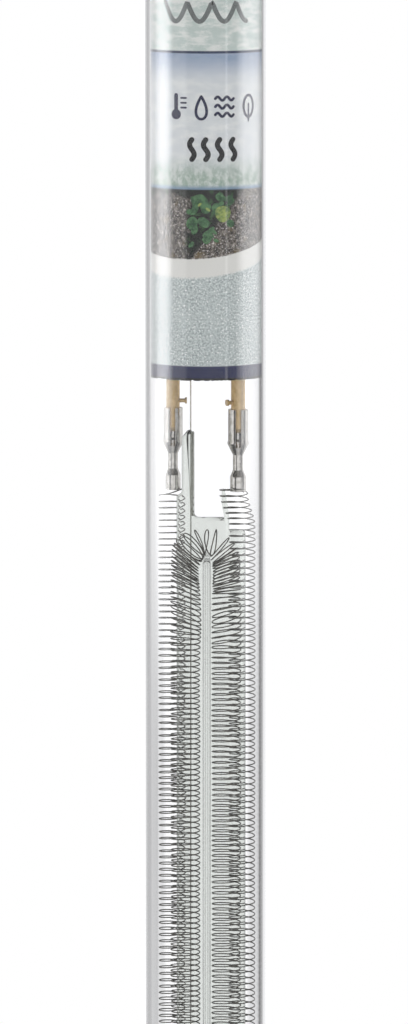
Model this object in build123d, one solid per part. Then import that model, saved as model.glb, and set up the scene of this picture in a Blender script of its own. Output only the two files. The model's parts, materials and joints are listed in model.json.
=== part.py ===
from build123d import *
import math
import os

# Submersible aquarium heater. Millimetres, +Z along the glass tube towards the dial.
# The origin is on the tube's axis, halfway along the bare glass that a holder clip grips.

# ---- driving dimensions -------------------------------------------------------------------
TUBE_R = 12.0
TUBE_WALL = 1.5
BARE_GLASS = 293.0
BORE_R = TUBE_R - TUBE_WALL
COLLAR_Z = BARE_GLASS / 2
DOME_Z = -BARE_GLASS / 2
TUBE_TOP = COLLAR_Z + 14.0
GROUND_R = TUBE_R - 0.25

LABEL_R = 10.4
LABEL_WALL = 0.2
LABEL_BOTTOM = 46.5
LABEL_LENGTH = 92.0
LABEL_TOP = LABEL_BOTTOM + LABEL_LENGTH

# Terminals: two posts hang from the disc that closes the thermostat space.
DISC_R = 10.1
DISC_BOTTOM = LABEL_BOTTOM + 1.0
DISC_TOP = DISC_BOTTOM + 4.0
FOOT_TOP = DISC_TOP + 1.9
POST_R = 1.32
POST_BOTTOM = 35.9
POST_TOP = DISC_TOP + 3.7
POSTS = {"left": (-6.35, 1.8), "right": (5.93, -1.5)}
CROSS_PIN_Z = 41.6
CROSS_PIN_R = 0.38
CROSS_PINS = {"left": (1.35, 0.0), "right": (1.1, 205.0)}

# Crimp contacts: rolled sheet sleeve on the post, cone, neck, open window, crimp barrel.
SHEET = 0.28
SLEEVE_R = 1.88
SLEEVE_TOP = 40.3
SLEEVE_BOTTOM = 34.4
FLARE_R = 2.05
FLARE_Z = 33.9
NECK_R = 0.98
NECK_TOP = 31.7
NECK_BOTTOM = 28.8
BARREL_R = 1.48
BARREL_TOP = 27.6
BARREL_BOTTOM = 24.8
SLOT_WIDTH = 1.05
SLOT_BOTTOM = 33.1

# Glass former: a left-right plate crossed by a front-back rib.
PLATE_Y = -1.0
PLATE_THICK = 1.6
PLATE_LEFT = -5.55
PLATE_RIGHT = 7.35
RIB_X = 0.08
RIB_THICK = 1.5
RIB_FRONT = -8.2
RIB_BACK = 8.0
RIB_TOP = 12.3
RIB_BOTTOM = -141.0
NOTCH_LEFT = -2.22
NOTCH_RIGHT = 3.35
NOTCH_Z = 19.88
PRONG_LEFT = -4.6
PRONG_TOP = 36.4
PRONG_FOOT = 24.6
HORN_TOP = 25.2
SHOULDER_Z = 17.55
POLISHED_R = 0.7

# Heating coil: four straight runs; A and D are behind the plate, B and C in front of it.
COIL_R = 2.8
COIL_SHEET = 0.25
COIL_TOP = 24.4
COIL_LOW = -118.0
COIL_BEND_Z = 11.95
RUN_A = (-6.6, 2.75)
RUN_B = (-3.8, -4.7)
RUN_C = (3.68, -4.7)
RUN_D = (6.9, 2.75)

STAY_X = -2.93
STAY_Y = 0.25
STAY_R = 0.13

# Thermostat on its moulded chassis.
WEB_FRONT = 2.0
WEB_BACK = 3.5
WEB_HALF = 7.6
FLANGE_R = 11.4
FLANGE_BOTTOM = TUBE_TOP + 0.2
FLANGE_TOP = FLANGE_BOTTOM + 2.0
STRIP_Y = (-3.4, 0.6)
STRIP_THICK = 0.3
RIVET_Y = -1.4
BIMETAL_X = 1.13
BIMETAL_PIVOT_Z = 79.0
BLADE_X = 4.25
BLADE_PIVOT_Z = 99.0
PAD_HEIGHT = 8.0
CONTACT_Z = 122.0
CONTACT_R = 1.1
CONTACT_GAP = 0.75
STRIP_TOP = 127.0
BLADE_KNEE_Z = 137.5
WEB_NOTCH_TOP = 64.0
LEAD_WINDOW = (103.0, 112.0)
EDGE_RIB_Y = (0.5, 5.0)
RIGHT_RIB_BOTTOM = 115.0
RAIL_Z = (140.0, 156.0)
SUPPLY_TAGS = (5.6, 5.6)
TAG_BOTTOM = 155.0
TAG_TOP = 168.0
LEAD_R = 0.8
CAPACITOR_HALF = 4.4
CAPACITOR_BACK = 8.0
CAPACITOR_Z = (62.0, 76.0)
RESISTOR = (-2.4, 5.0)
RESISTOR_R = 1.15
RESISTOR_BOTTOM = 118.0
LAMP = (-6.4, -4.6)
LAMP_R = 1.8
LAMP_BOTTOM = 139.6
LAMP_TOP = 149.0

# Setting screw: turning the dial lifts or lowers a nut whose chamfer steers the blade.
SCREW_R = 2.0
SCREW_FIT = 0.05
NUT_BOTTOM = 137.7
NUT_TOP = 148.0
NUT_HALF = 3.3
NUT_CHAMFER = 1.14
SHAFT_R = 2.5
SHAFT_FIT = 0.03

# Head.
NUT_RING_R = 16.3
NUT_RING_TOP = COLLAR_Z + 19.0
SKIRT_R = 14.7
SKIRT_BORE = 13.3
HEAD_R = 16.3
HEAD_TOP_R = 15.4
HEAD_TOP = COLLAR_Z + 50.0
CAVITY_R = 11.6
TOP_WALL = 2.5
BOSS_X = 7.4
SCREW_HOLE_R = 1.1
GLAND_Y = 12.6
GLAND_R = 4.0
CABLE_R = 3.1
GLAND_BOTTOM = HEAD_TOP - 11.0
GLAND_TOP = HEAD_TOP + 7.0
DIAL_BOTTOM = HEAD_TOP + 0.5
DIAL_TOP = DIAL_BOTTOM + 12.5
DIAL_SKIRT_R = 8.2
DIAL_GRIP_R = 6.9
POINTER_HALF = 0.55
CIRCLIP_Z = HEAD_TOP - TOP_WALL - 15.4
SCALE_HALF_ANGLE = 140.0

CENTRED_LOW = (Align.CENTER, Align.CENTER, Align.MIN)


# ---- small helpers ------------------------------------------------------------------------
def rod(radius, bottom, top, x=0.0, y=0.0):
    return Pos(x, y, bottom) * Cylinder(radius, top - bottom, align=CENTRED_LOW)


def ring(outer, inner, bottom, top):
    return rod(outer, bottom, top) - rod(inner, bottom - 1, top + 1)


def block(x0, x1, y0, y1, z0, z1):
    centre = Pos((x0 + x1) / 2, (y0 + y1) / 2, (z0 + z1) / 2)
    return centre * Box(x1 - x0, y1 - y0, z1 - z0)


def spun(outline):
    """Solid of revolution about Z from (radius, height) points."""
    points = [(radius, 0, height) for radius, height in outline]
    return revolve(make_face(Polyline(*points, close=True)), Axis.Z, 360)


def slab(outline, y0, y1):
    """Plate lying in XZ from (x, z) points, between two depths."""
    points = [(x, y0, z) for x, z in outline]
    return extrude(make_face(Polyline(*points, close=True)), amount=y1 - y0, dir=(0, 1, 0))


def bar_x(radius, x0, x1, y, z):
    return Pos(x0, y, z) * Rot(0, 90, 0) * Cylinder(radius, x1 - x0, align=CENTRED_LOW)


def swept(section_radius, path):
    profile = Plane(path @ 0, z_dir=path % 0) * Circle(section_radius)
    return sweep(profile, path)


def lead(points, radii):
    """Insulated wire along straight runs joined by arcs."""
    return swept(LEAD_R, FilletPolyline(*points, radius=radii))


def round_group(count, shape):
    step = 360 / count
    return [Rot(0, 0, index * step) * shape for index in range(count)]


def write(name, shape):
    solids = shape.solids() if hasattr(shape, "solids") else ShapeList(shape)
    whole = solids[0] if len(solids) == 1 else Compound(children=list(solids))
    export_step(whole, f"parts/{name}.step")


# ---- glass, label and what sits at the closed end -----------------------------------------
def glass_tube():
    """Closed tube; the part that the seal grips is ground a little smaller."""
    outside = rod(TUBE_R, DOME_Z, COLLAR_Z) + Pos(0, 0, DOME_Z) * Sphere(TUBE_R)
    outside += rod(GROUND_R, COLLAR_Z, TUBE_TOP)
    inside = rod(BORE_R, DOME_Z, TUBE_TOP + 1) + Pos(0, 0, DOME_Z) * Sphere(BORE_R)
    return outside - inside


def label_sleeve():
    return ring(LABEL_R, LABEL_R - LABEL_WALL, LABEL_BOTTOM, LABEL_TOP)


def rib_slot(clearance, bottom, top):
    half = RIB_THICK / 2 + clearance
    return block(RIB_X - half, RIB_X + half, RIB_FRONT - clearance, RIB_BACK + clearance, bottom, top)


def end_buffer():
    """Soft cushion that fills the dome and carries the foot of the former."""
    buffer_r = BORE_R - 0.1
    top = RIB_BOTTOM + 1.6
    dome = Pos(0, 0, DOME_Z) * Sphere(buffer_r, arc_size1=-90, arc_size2=0)
    cushion = rod(buffer_r, DOME_Z, top) + dome
    relief = ring(buffer_r + 1, buffer_r - 0.8, DOME_Z + 1.5, DOME_Z + 3.0)
    return cushion - relief - rib_slot(0.1, RIB_BOTTOM, top + 1)


def former_spacer():
    """Mica disc that keeps the former in the middle of the bore."""
    bottom = RIB_BOTTOM + 6.5
    disc = rod(BORE_R - 0.3, bottom, bottom + 1.0)
    vents = round_group(4, rod(1.6, bottom - 1, bottom + 2, 5.0, 5.0))
    for vent in vents:
        disc -= vent
    return disc - rib_slot(0.12, bottom - 1, bottom + 2)


# ---- former, coil and terminals -----------------------------------------------------------
def horn_outline(grow):
    """Short prong on the right of the notch that the coil's last turns go round."""
    return [
        (NOTCH_RIGHT - grow, NOTCH_Z - 1.0),
        (NOTCH_RIGHT - grow, NOTCH_Z),
        (2.95 - grow, 21.8),
        (2.85 - grow, 23.6),
        (2.95 - grow, HORN_TOP - 0.2 + grow),
        (3.2, HORN_TOP + grow),
        (3.45 + grow, HORN_TOP - 0.3 + grow),
        (3.8 + grow, 23.6),
        (4.3 + grow, 19.5),
        (4.35 + grow, SHOULDER_Z - 0.5),
    ]


def rounded(outline, corners):
    """Flat face of an outline with the listed corners rounded."""
    face = make_face(Polyline(*outline, close=True))
    for (x, z), radius in corners:
        nearest = min(face.vertices(), key=lambda v: math.hypot(v.X - x, v.Y - z))
        face = fillet([nearest], radius)
    return face


def glass_former():
    back = PLATE_Y + PLATE_THICK / 2
    outline = [
        (PLATE_LEFT, COIL_LOW),
        (PLATE_LEFT, PRONG_FOOT - 0.8),
        (PRONG_LEFT, PRONG_FOOT),
        (PRONG_LEFT, PRONG_TOP - 1.5),
        (-3.4, PRONG_TOP),
        (NOTCH_LEFT, PRONG_TOP - 0.4),
        (NOTCH_LEFT, NOTCH_Z),
        (4.0, NOTCH_Z),
        (4.35, SHOULDER_Z),
        (PLATE_RIGHT, SHOULDER_Z),
        (PLATE_RIGHT, COIL_LOW),
    ]
    corners = [
        ((PLATE_LEFT, PRONG_FOOT - 0.8), 0.5),
        ((PRONG_LEFT, PRONG_FOOT), 0.5),
        ((PRONG_LEFT, PRONG_TOP - 1.5), 1.0),
        ((-3.4, PRONG_TOP), 0.5),
        ((NOTCH_LEFT, NOTCH_Z), 0.9),
        ((PLATE_RIGHT, SHOULDER_Z), 0.8),
    ]
    plate = extrude(Plane.XZ.offset(-back) * rounded(outline, corners), PLATE_THICK)
    plate = fillet([e for e in plate.edges() if e.bounding_box().size.Z > 9.0], POLISHED_R)
    plate += slab(horn_outline(0), PLATE_Y - PLATE_THICK / 2, back)
    half = RIB_THICK / 2
    rib = block(RIB_X - half, RIB_X + half, RIB_FRONT, RIB_BACK, RIB_BOTTOM, RIB_TOP - half)
    crest = Pos(RIB_X, RIB_FRONT, RIB_TOP - half) * Rot(-90, 0, 0)
    rib += crest * Cylinder(half, RIB_BACK - RIB_FRONT, align=CENTRED_LOW)
    rib = fillet([e for e in rib.edges() if e.bounding_box().size.Z > COIL_TOP], POLISHED_R)
    return plate + rib


def at(run, height):
    return Vector(run[0], run[1], height)


def hairpin(run_from, run_to, height, sign):
    """Half circle from the top or foot of one run to the next."""
    start = at(run_from, height)
    end = at(run_to, height)
    reach = (end - start).length / 2
    return ThreePointArc(start, (start + end) / 2 + Vector(0, 0, sign * reach), end)


def coil_path():
    exit_d = Vector(5.15, -1.0, COIL_TOP)
    edges = [Line(at(RUN_A, COIL_TOP), at(RUN_A, COIL_LOW))]
    edges.append(hairpin(RUN_A, RUN_B, COIL_LOW, -1))
    edges.append(Line(at(RUN_B, COIL_LOW), at(RUN_B, COIL_BEND_Z)))
    edges.append(hairpin(RUN_B, RUN_C, COIL_BEND_Z, 1))
    edges.append(Line(at(RUN_C, COIL_BEND_Z), at(RUN_C, COIL_LOW)))
    edges.append(hairpin(RUN_C, RUN_D, COIL_LOW, -1))
    edges += list(FilletPolyline(at(RUN_D, COIL_LOW), at(RUN_D, 19.6), exit_d, radius=6).edges())
    return Wire(edges)


def heating_coil():
    """The close-wound resistance wire as a thin sleeve of its outer size."""
    path = coil_path()
    sleeve = swept(COIL_R, path) - swept(COIL_R - COIL_SHEET, path)
    reach = PLATE_THICK / 2 + 0.1
    return sleeve - slab(horn_outline(0.1), PLATE_Y - reach, PLATE_Y + reach)


def stay_rod():
    return rod(STAY_R, COIL_LOW + 2, DISC_TOP, STAY_X, STAY_Y)


def terminal_disc():
    disc = rod(DISC_R, DISC_BOTTOM, DISC_TOP)
    disc -= rod(STAY_R, DISC_BOTTOM - 1, DISC_TOP + 1, STAY_X, STAY_Y)
    for x, y in POSTS.values():
        disc -= rod(POST_R, DISC_BOTTOM - 1, DISC_TOP + 1, x, y)
    return disc


def terminal_post(side):
    x, y = POSTS[side]
    post = rod(POST_R, POST_BOTTOM + 0.8, POST_TOP, x, y)
    tip = Pos(x, y, POST_BOTTOM) * Cone(POST_R - 0.5, POST_R, 0.8, align=CENTRED_LOW)
    collar = rod(POST_R + 0.2, DISC_BOTTOM - 1.2, DISC_BOTTOM, x, y)
    return post + tip + collar - cross_pin_bar(side, CROSS_PIN_R)


def cross_pin_bar(side, radius):
    x, y = POSTS[side]
    reach, turn = CROSS_PINS[side]
    bar = bar_x(radius, 0, POST_R + reach, 0, CROSS_PIN_Z)
    return Pos(x, y, 0) * Rot(0, 0, turn) * bar


def cross_pins():
    pins = []
    for side, (x, y) in POSTS.items():
        reach, turn = CROSS_PINS[side]
        head = bar_x(CROSS_PIN_R + 0.22, POST_R + reach - 0.35, POST_R + reach, 0, CROSS_PIN_Z)
        pins.append(cross_pin_bar(side, CROSS_PIN_R) + Pos(x, y, 0) * Rot(0, 0, turn) * head)
    return pins


def post_nuts():
    nuts = []
    for x, y in POSTS.values():
        nut = Pos(x, y, FOOT_TOP) * extrude(RegularPolygon(2.3, 6, major_radius=False), 1.2)
        nuts.append(nut - rod(POST_R, FOOT_TOP - 1, FOOT_TOP + 3, x, y))
    return nuts


def crimp_contact(side):
    """Rolled contact: slotted sleeve on the post, cone, neck, window and crimp barrel."""
    x, y = POSTS[side]
    outer = [
        (SLEEVE_R, SLEEVE_TOP),
        (SLEEVE_R, SLEEVE_BOTTOM),
        (FLARE_R, FLARE_Z),
        (NECK_R, NECK_TOP),
        (NECK_R, NECK_BOTTOM),
        (BARREL_R, BARREL_TOP),
        (BARREL_R, BARREL_BOTTOM),
    ]
    inner = [(radius - SHEET, height) for radius, height in reversed(outer)]
    contact = Pos(x, y, 0) * spun(outer + inner)
    front = y - FLARE_R - 1
    half = SLOT_WIDTH / 2
    contact -= block(x - half, x + half, front, y, SLOT_BOTTOM, SLEEVE_TOP + 1)
    contact -= block(x - NECK_R, x + NECK_R, front, y - 0.35, BARREL_TOP, NECK_BOTTOM)
    return contact


# ---- thermostat ---------------------------------------------------------------------------
def thermostat_chassis():
    """Moulded web between a foot disc and a flange, with strip pads and nut rails."""
    foot = rod(DISC_R - 0.3, DISC_TOP + 0.1, FOOT_TOP)
    web = block(-WEB_HALF, WEB_HALF, WEB_FRONT, WEB_BACK, FOOT_TOP, FLANGE_BOTTOM)
    web -= block(-WEB_HALF - 1, -3.5, WEB_FRONT - 1, WEB_BACK + 1, FOOT_TOP, WEB_NOTCH_TOP)
    web -= block(4.6, WEB_HALF + 1, WEB_FRONT - 1, WEB_BACK + 1, *LEAD_WINDOW)
    left_rib = block(-WEB_HALF - 0.6, -WEB_HALF, *EDGE_RIB_Y, WEB_NOTCH_TOP, FLANGE_BOTTOM)
    right_rib = block(WEB_HALF, WEB_HALF + 0.6, *EDGE_RIB_Y, RIGHT_RIB_BOTTOM, FLANGE_BOTTOM)
    flange = rod(FLANGE_R, FLANGE_BOTTOM, FLANGE_TOP)
    bimetal_pad = pad_block(-0.6, BIMETAL_X - 0.08, BIMETAL_PIVOT_Z)
    blade_pad = pad_block(BLADE_X + STRIP_THICK + 0.15, 6.2, BLADE_PIVOT_Z)
    chassis = foot + web + left_rib + right_rib + flange + bimetal_pad + blade_pad
    for side in (-1, 1):
        near = side * (NUT_HALF + 0.25)
        far = side * (NUT_HALF + 1.1)
        chassis += block(min(near, far), max(near, far), -2.8, WEB_FRONT, *RAIL_Z)
        chassis -= rod(SCREW_HOLE_R, FLANGE_BOTTOM - 1, FLANGE_TOP + 1, side * BOSS_X)
        chassis -= rod(2.1, FLANGE_BOTTOM - 1.6, FLANGE_BOTTOM, side * BOSS_X)
        chassis -= tag_plate(side)
    chassis -= rod(SCREW_R + 0.2, FLANGE_BOTTOM - 1, FLANGE_TOP + 1)
    for x, y in POSTS.values():
        chassis -= rod(POST_R, DISC_TOP - 1, FOOT_TOP + 1, x, y)
    for rivet in strip_rivets():
        chassis -= rivet
    return chassis


def pad_block(x0, x1, pivot_z):
    return block(x0, x1, STRIP_Y[0] + 0.2, WEB_FRONT, pivot_z - PAD_HEIGHT, pivot_z)


def chassis_screws():
    screws = []
    for side in (-1, 1):
        x = side * BOSS_X
        head = rod(1.9, FLANGE_BOTTOM - 1.4, FLANGE_BOTTOM, x)
        recess = block(x - 0.3, x + 0.3, -1.4, 1.4, FLANGE_BOTTOM - 2, FLANGE_BOTTOM - 0.8)
        screws.append(head + rod(SCREW_HOLE_R, FLANGE_BOTTOM, FLANGE_BOTTOM + 9.0, x) - recess)
    return screws


def strip_rivets():
    """Rivets that hold the roots of the two strips, with room for them to bend."""
    bimetal_z = BIMETAL_PIVOT_Z - PAD_HEIGHT / 2
    blade_z = BLADE_PIVOT_Z - PAD_HEIGHT / 2
    bimetal_far = BIMETAL_X + STRIP_THICK + 0.25
    blade_far = BLADE_X - 0.15
    first = bar_x(0.7, -1.1, bimetal_far + 0.6, RIVET_Y, bimetal_z)
    first += bar_x(1.4, -1.1, -0.6, RIVET_Y, bimetal_z)
    first += bar_x(1.4, bimetal_far, bimetal_far + 0.6, RIVET_Y, bimetal_z)
    second = bar_x(0.7, blade_far - 0.6, 6.7, RIVET_Y, blade_z)
    second += bar_x(1.4, blade_far - 0.6, blade_far, RIVET_Y, blade_z)
    second += bar_x(1.4, 6.2, 6.7, RIVET_Y, blade_z)
    return [first, second]


def bimetal_strip():
    low = BIMETAL_PIVOT_Z - PAD_HEIGHT + 1.0
    strip = block(BIMETAL_X, BIMETAL_X + STRIP_THICK, *STRIP_Y, low, STRIP_TOP)
    hole = bar_x(1.0, BIMETAL_X - 1, BIMETAL_X + 1, RIVET_Y, BIMETAL_PIVOT_Z - PAD_HEIGHT / 2)
    return strip - hole


def moving_contact():
    face = BIMETAL_X + STRIP_THICK
    return bar_x(CONTACT_R, face, face + 0.75, RIVET_Y, CONTACT_Z)


def fixed_contact():
    start = BIMETAL_X + STRIP_THICK + 0.75 + CONTACT_GAP
    return bar_x(CONTACT_R, start, BLADE_X, RIVET_Y, CONTACT_Z)


def armature():
    face = BIMETAL_X + STRIP_THICK
    return block(face, face + 0.6, *STRIP_Y, STRIP_TOP - 2.6, STRIP_TOP)


def snap_magnet():
    return block(2.8, 3.75, -2.4, WEB_FRONT, STRIP_TOP - 2.8, STRIP_TOP + 0.2)


def contact_blade():
    """Spring blade whose bent tip rides on the chamfer of the setting nut."""
    low = BLADE_PIVOT_Z - PAD_HEIGHT + 1.0
    left = BLADE_X
    right = BLADE_X + STRIP_THICK
    tip_left = (left - 1.05, BLADE_KNEE_Z + 1.17)
    tip_right = (left - 0.84, BLADE_KNEE_Z + 1.38)
    knee_right = (right, BLADE_KNEE_Z + 0.12)
    outline = [(left, low), (right, low), knee_right, tip_right, tip_left, (left, BLADE_KNEE_Z)]
    blade = slab(outline, *STRIP_Y)
    hole = bar_x(1.0, left - 1, right + 1, RIVET_Y, BLADE_PIVOT_Z - PAD_HEIGHT / 2)
    return blade - hole


def setting_nut():
    outline = [
        (-NUT_HALF, NUT_BOTTOM),
        (NUT_HALF - NUT_CHAMFER, NUT_BOTTOM),
        (NUT_HALF, NUT_BOTTOM + NUT_CHAMFER),
        (NUT_HALF, NUT_TOP),
        (-NUT_HALF, NUT_TOP),
    ]
    nut = slab(outline, -2.9, WEB_FRONT - 0.3)
    return nut - rod(SCREW_R + SCREW_FIT, NUT_BOTTOM - 1, NUT_TOP + 1)


def suppression_capacitor():
    body = block(-CAPACITOR_HALF, CAPACITOR_HALF, WEB_BACK + 0.1, CAPACITOR_BACK, *CAPACITOR_Z)
    body = fillet(body.edges().filter_by(Axis.Z), 0.6)
    for side in (-1, 1):
        body += rod(0.3, CAPACITOR_Z[1], CAPACITOR_Z[1] + 6.0, side * 2.5, 5.6)
    return body


def lamp_resistor():
    body = rod(RESISTOR_R, RESISTOR_BOTTOM, RESISTOR_BOTTOM + 6.5, *RESISTOR)
    return body + rod(0.28, RESISTOR_BOTTOM - 5.0, RESISTOR_BOTTOM + 12.0, *RESISTOR)


def indicator_lamp():
    x, y = LAMP
    bulb = rod(LAMP_R, LAMP_BOTTOM, LAMP_TOP, x, y) + Pos(x, y, LAMP_BOTTOM) * Sphere(LAMP_R)
    for offset in (-0.6, 0.6):
        bulb += rod(0.22, LAMP_TOP, FLANGE_BOTTOM - 0.1, x + offset, y)
    return bulb


def tag_plate(side):
    x = side * SUPPLY_TAGS[0]
    y = SUPPLY_TAGS[1]
    return block(x - 1.2, x + 1.2, y - 0.3, y + 0.3, TAG_BOTTOM, TAG_TOP)


def supply_tags():
    """Solder tags through the chassis flange, where the supply cord's cores are joined."""
    tags = []
    for side in (-1, 1):
        centre = Pos(side * SUPPLY_TAGS[0], SUPPLY_TAGS[1], TAG_TOP - 1.8)
        tags.append(tag_plate(side) - centre * Rot(90, 0, 0) * Cylinder(0.7, 3))
    return tags


def neutral_lead():
    x, y = POSTS["left"]
    tag_x, tag_y = -SUPPLY_TAGS[0], SUPPLY_TAGS[1]
    start = POST_TOP + 0.1
    end = (tag_x, tag_y, TAG_BOTTOM - 0.1)
    points = [(x, y, start), (x, y, start + 3.2), (tag_x, tag_y, start + 9.0), end]
    return lead(points, [3.0, 3.5])


def live_lead():
    tag_x, tag_y = SUPPLY_TAGS
    low = BLADE_PIVOT_Z - PAD_HEIGHT / 2 + 1.5
    window_low, window_high = LEAD_WINDOW
    start = (tag_x, tag_y, TAG_BOTTOM - 0.1)
    points = [start, (tag_x, tag_y, window_high - 1.5), (7.05, RIVET_Y, window_low), (7.05, RIVET_Y, low)]
    return lead(points, [4.5, 4.0])


def load_lead():
    x, y = POSTS["right"]
    start = POST_TOP + 0.1
    high = BIMETAL_PIVOT_Z - PAD_HEIGHT / 2 - 1.5
    points = [(x, y, start), (x, y, start + 3.4), (-1.45, RIVET_Y, start + 9.0), (-1.45, RIVET_Y, high)]
    return lead(points, [2.6, 2.8])


# ---- head ---------------------------------------------------------------------------------
def collar_nut():
    """Screw ring that squeezes the seal onto the glass."""
    outline = [
        (TUBE_R + 0.2, COLLAR_Z),
        (NUT_RING_R - 1.2, COLLAR_Z),
        (NUT_RING_R, COLLAR_Z + 1.2),
        (NUT_RING_R, NUT_RING_TOP),
        (SKIRT_R + 0.1, NUT_RING_TOP),
        (SKIRT_R + 0.1, COLLAR_Z + 4.0),
        (TUBE_R + 0.2, COLLAR_Z + 4.0),
    ]
    nut = spun(outline)
    for flute in round_group(24, rod(0.9, COLLAR_Z + 3.0, NUT_RING_TOP - 1.5, NUT_RING_R + 0.45, 0)):
        nut -= flute
    return nut


def tube_seal():
    return ring(SKIRT_BORE - 0.1, GROUND_R + 0.03, COLLAR_Z + 4.1, TUBE_TOP + 1.8)


def head_housing():
    """Black head shell: screw skirt, cavity, spindle boss, screw bosses and gland boss."""
    shoulder = NUT_RING_TOP + 0.2
    outline = [
        (SKIRT_BORE, COLLAR_Z + 6.5),
        (SKIRT_R, COLLAR_Z + 6.5),
        (SKIRT_R, shoulder),
        (HEAD_R, shoulder),
        (HEAD_R, shoulder + 4.0),
        (HEAD_TOP_R, HEAD_TOP - 2.5),
        (HEAD_TOP_R - 0.7, HEAD_TOP - 0.7),
        (HEAD_TOP_R - 2.5, HEAD_TOP),
        (0, HEAD_TOP),
        (0, HEAD_TOP - TOP_WALL),
        (CAVITY_R, HEAD_TOP - TOP_WALL),
        (CAVITY_R, TUBE_TOP + 2.0),
        (SKIRT_BORE, TUBE_TOP + 2.0),
    ]
    shell = spun(outline)
    ceiling = HEAD_TOP - TOP_WALL
    gland_boss = rod(GLAND_R + 1.4, HEAD_TOP - 24.0, HEAD_TOP + 1.5, 0, GLAND_Y)
    gland_boss -= rod(CAVITY_R, HEAD_TOP - 25.0, ceiling)
    gland_boss -= rod(DIAL_SKIRT_R + 0.5, HEAD_TOP, HEAD_TOP + 5)
    shell += gland_boss
    shell += rod(4.8, ceiling - 14.0, ceiling)
    for side in (-1, 1):
        boss = rod(2.2, FLANGE_TOP + 0.1, ceiling, side * BOSS_X)
        shell += boss - rod(SCREW_HOLE_R, FLANGE_TOP, FLANGE_BOTTOM + 9.1, side * BOSS_X)
    shell -= rod(SHAFT_R + SHAFT_FIT, ceiling - 20, HEAD_TOP + 1)
    shell -= rod(4.1, ceiling - 15.0, ceiling - 10.8)
    shell -= rod(GLAND_R, GLAND_BOTTOM - 3.0, HEAD_TOP + 3, 0, GLAND_Y)
    shell -= rod(CABLE_R + 1.0, HEAD_TOP - 22.0, GLAND_BOTTOM, 0, GLAND_Y)
    shell -= scale_ring_shape(HEAD_TOP - 0.6, HEAD_TOP + 1, 0.05)
    groove = ring(7.2, 5.6, HEAD_TOP - 1.5, HEAD_TOP + 1)
    return shell - (groove - back_wedge(146.0, 9.0, HEAD_TOP - 3, HEAD_TOP + 3))


def back_wedge(half_angle, reach, bottom, top):
    """Sector behind the axis that is left when the front half_angle each way is taken."""
    open_half = math.radians(180 - half_angle)
    points = [(0, 0)]
    for step in range(-4, 5):
        turn = open_half * step / 4
        points.append((1.5 * reach * math.sin(turn), 1.5 * reach * math.cos(turn)))
    wedge = make_face(Polyline(*[(x, y, bottom) for x, y in points], close=True))
    return extrude(wedge, amount=top - bottom, dir=(0, 0, 1))


def scale_ring_shape(bottom, top, grow):
    whole = ring(12.4 + grow, 8.7 - grow, bottom, top)
    return whole - back_wedge(SCALE_HALF_ANGLE + 2 * grow, 13.0, bottom - 1, top + 1)


def scale_ring():
    return scale_ring_shape(HEAD_TOP - 0.6, HEAD_TOP + 0.1, 0.0)


def cable_gland():
    """Rubber bush that the supply cord passes through."""
    outline = [
        (CABLE_R, GLAND_BOTTOM),
        (GLAND_R, GLAND_BOTTOM),
        (GLAND_R, HEAD_TOP + 2.2),
        (CABLE_R + 0.55, GLAND_TOP),
        (CABLE_R, GLAND_TOP),
    ]
    return Pos(0, GLAND_Y, 0) * spun(outline)


def dial_knob():
    """Fluted knob with a skirt and a stop lug that runs in the head's groove."""
    skirt_top = DIAL_BOTTOM + 2.4
    outline = [
        (0, DIAL_BOTTOM),
        (DIAL_SKIRT_R - 0.3, DIAL_BOTTOM),
        (DIAL_SKIRT_R, DIAL_BOTTOM + 0.3),
        (DIAL_SKIRT_R, DIAL_BOTTOM + 1.4),
        (DIAL_GRIP_R, skirt_top),
        (DIAL_GRIP_R - 0.3, DIAL_TOP - 1.0),
        (DIAL_GRIP_R - 1.3, DIAL_TOP),
        (0, DIAL_TOP),
    ]
    knob = spun(outline)
    for flute in round_group(12, rod(1.0, skirt_top + 0.2, DIAL_TOP + 1, 0, DIAL_GRIP_R + 0.35)):
        knob -= Rot(0, 0, 15) * flute
    knob += block(-0.8, 0.8, -7.0, -5.8, DIAL_BOTTOM - 1.2, DIAL_BOTTOM + 0.5)
    knob -= rod(SHAFT_R - 0.2, DIAL_BOTTOM - 1, DIAL_TOP - 3.5)
    return knob - pointer_bar(DIAL_GRIP_R)


def pointer_bar(reach):
    return block(-POINTER_HALF, POINTER_HALF, -reach, -2.0, DIAL_TOP - 1.0, DIAL_TOP + 0.1)


def dial_pointer():
    return pointer_bar(DIAL_GRIP_R - 1.3)


def dial_spindle():
    """Shaft from the knob down through the seal to the setting screw."""
    shaft = rod(SHAFT_R, COLLAR_Z + 24.0, DIAL_BOTTOM)
    neck = rod(SHAFT_R - 0.2, DIAL_BOTTOM, DIAL_TOP - 3.6)
    screw = rod(SCREW_R, COLLAR_Z - 10.0, COLLAR_Z + 24.0)
    groove = ring(SHAFT_R + 1, SHAFT_R - 0.6, CIRCLIP_Z, CIRCLIP_Z + 0.8)
    return shaft + neck + screw - groove


def spindle_clip():
    bottom = CIRCLIP_Z + 0.05
    clip = ring(4.0, SHAFT_R - 0.6, bottom, bottom + 0.7)
    return clip - block(-1.0, 1.0, 1.0, 5.0, bottom - 1, bottom + 2)


def spindle_o_ring():
    thickness = 0.75
    reach = SHAFT_R + SHAFT_FIT + thickness
    return Pos(0, 0, HEAD_TOP - TOP_WALL - 10.8 - thickness) * Torus(reach, thickness)


def seal_washer():
    top = HEAD_TOP - TOP_WALL - 12.4
    return ring(4.1, SHAFT_R + 0.1, top - 1.5, top)


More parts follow.
